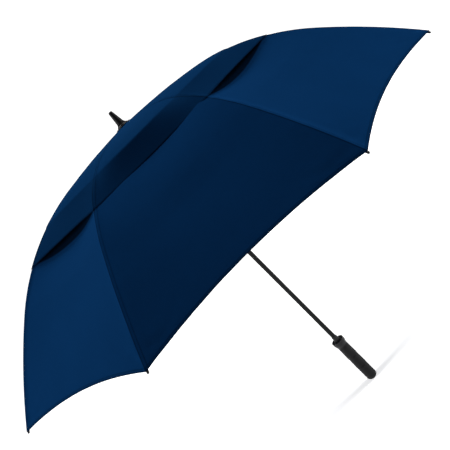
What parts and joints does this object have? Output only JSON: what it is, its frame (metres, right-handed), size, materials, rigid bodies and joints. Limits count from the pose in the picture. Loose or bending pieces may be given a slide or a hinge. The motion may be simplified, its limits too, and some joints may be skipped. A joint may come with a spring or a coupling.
{
  "type": "stick umbrella",
  "caption": "Open stick umbrella with a double vented dark blue canopy on folding ribs, a sliding runner, a ferrule and a straight black grip.",
  "frame": {"origin": "middle of the handle's end face, on the shaft's axis", "axes": "+Z along the shaft from the handle to the ferrule; -Y through the middle of a gore; the release button faces -Y"},
  "size_m": [1.2394, 1.2394, 0.99],
  "materials": {
    "upper_cloth": "satin",
    "lower_cloth": "satin",
    "shaft": "satin",
    "grip": "matte",
    "cup": "satin",
    "ferrule": "satin",
    "mechanism": "satin",
    "wire": "satin",
    "rib": "satin",
    "tip": "gloss",
    "stretcher": "satin"
  },
  "bodies": {
    "frame": {"shaft": "shaft", "handle_grip": "grip", "tip_cup": "cup", "ferrule": "ferrule", "top_washer": "ferrule", "crown": "mechanism", "crown_wire": "wire", "catch_pin": "wire"},
    "runner": {"runner": "mechanism", "runner_wire": "wire", "button_spring": "wire"},
    "release_button": {"release_button": "mechanism"},
    "rib_inner_1": {"rib_inner_1": "rib", "upper_gore_1": "upper_cloth"},
    "rib_outer_1": {"rib_outer_1": "rib", "rib_tip_1": "tip", "lower_gore_1": "lower_cloth"},
    "stretcher_1": {"stretcher_1": "stretcher"},
    "rib_inner_2": {"rib_inner_2": "rib", "upper_gore_2": "upper_cloth"},
    "rib_outer_2": {"rib_outer_2": "rib", "rib_tip_2": "tip", "lower_gore_2": "lower_cloth"},
    "stretcher_2": {"stretcher_2": "stretcher"},
    "rib_inner_3": {"rib_inner_3": "rib", "upper_gore_3": "upper_cloth"},
    "rib_outer_3": {"rib_outer_3": "rib", "rib_tip_3": "tip", "lower_gore_3": "lower_cloth"},
    "stretcher_3": {"stretcher_3": "stretcher"},
    "rib_inner_4": {"rib_inner_4": "rib", "upper_gore_4": "upper_cloth"},
    "rib_outer_4": {"rib_outer_4": "rib", "rib_tip_4": "tip", "lower_gore_4": "lower_cloth"},
    "stretcher_4": {"stretcher_4": "stretcher"},
    "rib_inner_5": {"rib_inner_5": "rib", "upper_gore_5": "upper_cloth"},
    "rib_outer_5": {"rib_outer_5": "rib", "rib_tip_5": "tip", "lower_gore_5": "lower_cloth"},
    "stretcher_5": {"stretcher_5": "stretcher"},
    "rib_inner_6": {"rib_inner_6": "rib", "upper_gore_6": "upper_cloth"},
    "rib_outer_6": {"rib_outer_6": "rib", "rib_tip_6": "tip", "lower_gore_6": "lower_cloth"},
    "stretcher_6": {"stretcher_6": "stretcher"},
    "rib_inner_7": {"rib_inner_7": "rib", "upper_gore_7": "upper_cloth"},
    "rib_outer_7": {"rib_outer_7": "rib", "rib_tip_7": "tip", "lower_gore_7": "lower_cloth"},
    "stretcher_7": {"stretcher_7": "stretcher"},
    "rib_inner_8": {"rib_inner_8": "rib", "upper_gore_8": "upper_cloth"},
    "rib_outer_8": {"rib_outer_8": "rib", "rib_tip_8": "tip", "lower_gore_8": "lower_cloth"},
    "stretcher_8": {"stretcher_8": "stretcher"}
  },
  "joints": [
    {"name": "runner_slide", "type": "slide", "parent": "frame", "child": "runner", "axis": [0, 0, 1], "range_m": [-0.38597, 0], "deforming": ["upper_gore_1", "lower_gore_1", "upper_gore_2", "lower_gore_2", "upper_gore_3", "lower_gore_3", "upper_gore_4", "lower_gore_4", "upper_gore_5", "lower_gore_5", "upper_gore_6", "lower_gore_6", "upper_gore_7", "lower_gore_7", "upper_gore_8", "lower_gore_8"]},
    {"name": "release_press", "type": "slide", "parent": "runner", "child": "release_button", "axis": [0, 1, 0], "range_m": [0, 0.0025], "stiffness_N_per_m": 800, "springref_m": -0.002, "deforming": ["button_spring"]},
    {"name": "crown_hinge_1", "type": "hinge", "parent": "frame", "child": "rib_inner_1", "pos_m": [0.01109, 0.00459, 0.93], "axis": [-0.3827, 0.9239, 0], "range_deg": [0, 75.23]},
    {"name": "knee_hinge_1", "type": "hinge", "parent": "rib_inner_1", "child": "rib_outer_1", "pos_m": [0.36394, 0.15075, 0.85823], "axis": [-0.3827, 0.9239, 0], "range_deg": [-23.37, 0]},
    {"name": "stretcher_hinge_1", "type": "hinge", "parent": "rib_inner_1", "child": "stretcher_1", "pos_m": [0.28856, 0.11953, 0.88122], "axis": [-0.3827, 0.9239, 0], "range_deg": [-119.56, 0]},
    {"name": "crown_hinge_2", "type": "hinge", "parent": "frame", "child": "rib_inner_2", "pos_m": [0.00459, 0.01109, 0.93], "axis": [-0.9239, 0.3827, 0], "range_deg": [0, 75.23]},
    {"name": "knee_hinge_2", "type": "hinge", "parent": "rib_inner_2", "child": "rib_outer_2", "pos_m": [0.15075, 0.36394, 0.85823], "axis": [-0.9239, 0.3827, 0], "range_deg": [-23.37, 0]},
    {"name": "stretcher_hinge_2", "type": "hinge", "parent": "rib_inner_2", "child": "stretcher_2", "pos_m": [0.11953, 0.28856, 0.88122], "axis": [-0.9239, 0.3827, 0], "range_deg": [-119.56, 0]},
    {"name": "crown_hinge_3", "type": "hinge", "parent": "frame", "child": "rib_inner_3", "pos_m": [-0.00459, 0.01109, 0.93], "axis": [-0.9239, -0.3827, 0], "range_deg": [0, 75.23]},
    {"name": "knee_hinge_3", "type": "hinge", "parent": "rib_inner_3", "child": "rib_outer_3", "pos_m": [-0.15075, 0.36394, 0.85823], "axis": [-0.9239, -0.3827, 0], "range_deg": [-23.37, 0]},
    {"name": "stretcher_hinge_3", "type": "hinge", "parent": "rib_inner_3", "child": "stretcher_3", "pos_m": [-0.11953, 0.28856, 0.88122], "axis": [-0.9239, -0.3827, 0], "range_deg": [-119.56, 0]},
    {"name": "crown_hinge_4", "type": "hinge", "parent": "frame", "child": "rib_inner_4", "pos_m": [-0.01109, 0.00459, 0.93], "axis": [-0.3827, -0.9239, 0], "range_deg": [0, 75.23]},
    {"name": "knee_hinge_4", "type": "hinge", "parent": "rib_inner_4", "child": "rib_outer_4", "pos_m": [-0.36394, 0.15075, 0.85823], "axis": [-0.3827, -0.9239, 0], "range_deg": [-23.37, 0]},
    {"name": "stretcher_hinge_4", "type": "hinge", "parent": "rib_inner_4", "child": "stretcher_4", "pos_m": [-0.28856, 0.11953, 0.88122], "axis": [-0.3827, -0.9239, 0], "range_deg": [-119.56, 0]},
    {"name": "crown_hinge_5", "type": "hinge", "parent": "frame", "child": "rib_inner_5", "pos_m": [-0.01109, -0.00459, 0.93], "axis": [0.3827, -0.9239, 0], "range_deg": [0, 75.23]},
    {"name": "knee_hinge_5", "type": "hinge", "parent": "rib_inner_5", "child": "rib_outer_5", "pos_m": [-0.36394, -0.15075, 0.85823], "axis": [0.3827, -0.9239, 0], "range_deg": [-23.37, 0]},
    {"name": "stretcher_hinge_5", "type": "hinge", "parent": "rib_inner_5", "child": "stretcher_5", "pos_m": [-0.28856, -0.11953, 0.88122], "axis": [0.3827, -0.9239, 0], "range_deg": [-119.56, 0]},
    {"name": "crown_hinge_6", "type": "hinge", "parent": "frame", "child": "rib_inner_6", "pos_m": [-0.00459, -0.01109, 0.93], "axis": [0.9239, -0.3827, 0], "range_deg": [0, 75.23]},
    {"name": "knee_hinge_6", "type": "hinge", "parent": "rib_inner_6", "child": "rib_outer_6", "pos_m": [-0.15075, -0.36394, 0.85823], "axis": [0.9239, -0.3827, 0], "range_deg": [-23.37, 0]},
    {"name": "stretcher_hinge_6", "type": "hinge", "parent": "rib_inner_6", "child": "stretcher_6", "pos_m": [-0.11953, -0.28856, 0.88122], "axis": [0.9239, -0.3827, 0], "range_deg": [-119.56, 0]},
    {"name": "crown_hinge_7", "type": "hinge", "parent": "frame", "child": "rib_inner_7", "pos_m": [0.00459, -0.01109, 0.93], "axis": [0.9239, 0.3827, 0], "range_deg": [0, 75.23]},
    {"name": "knee_hinge_7", "type": "hinge", "parent": "rib_inner_7", "child": "rib_outer_7", "pos_m": [0.15075, -0.36394, 0.85823], "axis": [0.9239, 0.3827, 0], "range_deg": [-23.37, 0]},
    {"name": "stretcher_hinge_7", "type": "hinge", "parent": "rib_inner_7", "child": "stretcher_7", "pos_m": [0.11953, -0.28856, 0.88122], "axis": [0.9239, 0.3827, 0], "range_deg": [-119.56, 0]},
    {"name": "crown_hinge_8", "type": "hinge", "parent": "frame", "child": "rib_inner_8", "pos_m": [0.01109, -0.00459, 0.93], "axis": [0.3827, 0.9239, 0], "range_deg": [0, 75.23]},
    {"name": "knee_hinge_8", "type": "hinge", "parent": "rib_inner_8", "child": "rib_outer_8", "pos_m": [0.36394, -0.15075, 0.85823], "axis": [0.3827, 0.9239, 0], "range_deg": [-23.37, 0]},
    {"name": "stretcher_hinge_8", "type": "hinge", "parent": "rib_inner_8", "child": "stretcher_8", "pos_m": [0.28856, -0.11953, 0.88122], "axis": [0.3827, 0.9239, 0], "range_deg": [-119.56, 0]}
  ],
  "couplings": [
    {"joint": "crown_hinge_1", "follows": "runner_slide", "rad_per_m": -3.4016},
    {"joint": "knee_hinge_1", "follows": "runner_slide", "rad_per_m": 1.0567},
    {"joint": "stretcher_hinge_1", "follows": "runner_slide", "rad_per_m": 5.4063},
    {"joint": "crown_hinge_2", "follows": "runner_slide", "rad_per_m": -3.4016},
    {"joint": "knee_hinge_2", "follows": "runner_slide", "rad_per_m": 1.0567},
    {"joint": "stretcher_hinge_2", "follows": "runner_slide", "rad_per_m": 5.4063},
    {"joint": "crown_hinge_3", "follows": "runner_slide", "rad_per_m": -3.4016},
    {"joint": "knee_hinge_3", "follows": "runner_slide", "rad_per_m": 1.0567},
    {"joint": "stretcher_hinge_3", "follows": "runner_slide", "rad_per_m": 5.4063},
    {"joint": "crown_hinge_4", "follows": "runner_slide", "rad_per_m": -3.4016},
    {"joint": "knee_hinge_4", "follows": "runner_slide", "rad_per_m": 1.0567},
    {"joint": "stretcher_hinge_4", "follows": "runner_slide", "rad_per_m": 5.4063},
    {"joint": "crown_hinge_5", "follows": "runner_slide", "rad_per_m": -3.4016},
    {"joint": "knee_hinge_5", "follows": "runner_slide", "rad_per_m": 1.0567},
    {"joint": "stretcher_hinge_5", "follows": "runner_slide", "rad_per_m": 5.4063},
    {"joint": "crown_hinge_6", "follows": "runner_slide", "rad_per_m": -3.4016},
    {"joint": "knee_hinge_6", "follows": "runner_slide", "rad_per_m": 1.0567},
    {"joint": "stretcher_hinge_6", "follows": "runner_slide", "rad_per_m": 5.4063},
    {"joint": "crown_hinge_7", "follows": "runner_slide", "rad_per_m": -3.4016},
    {"joint": "knee_hinge_7", "follows": "runner_slide", "rad_per_m": 1.0567},
    {"joint": "stretcher_hinge_7", "follows": "runner_slide", "rad_per_m": 5.4063},
    {"joint": "crown_hinge_8", "follows": "runner_slide", "rad_per_m": -3.4016},
    {"joint": "knee_hinge_8", "follows": "runner_slide", "rad_per_m": 1.0567},
    {"joint": "stretcher_hinge_8", "follows": "runner_slide", "rad_per_m": 5.4063}
  ]
}
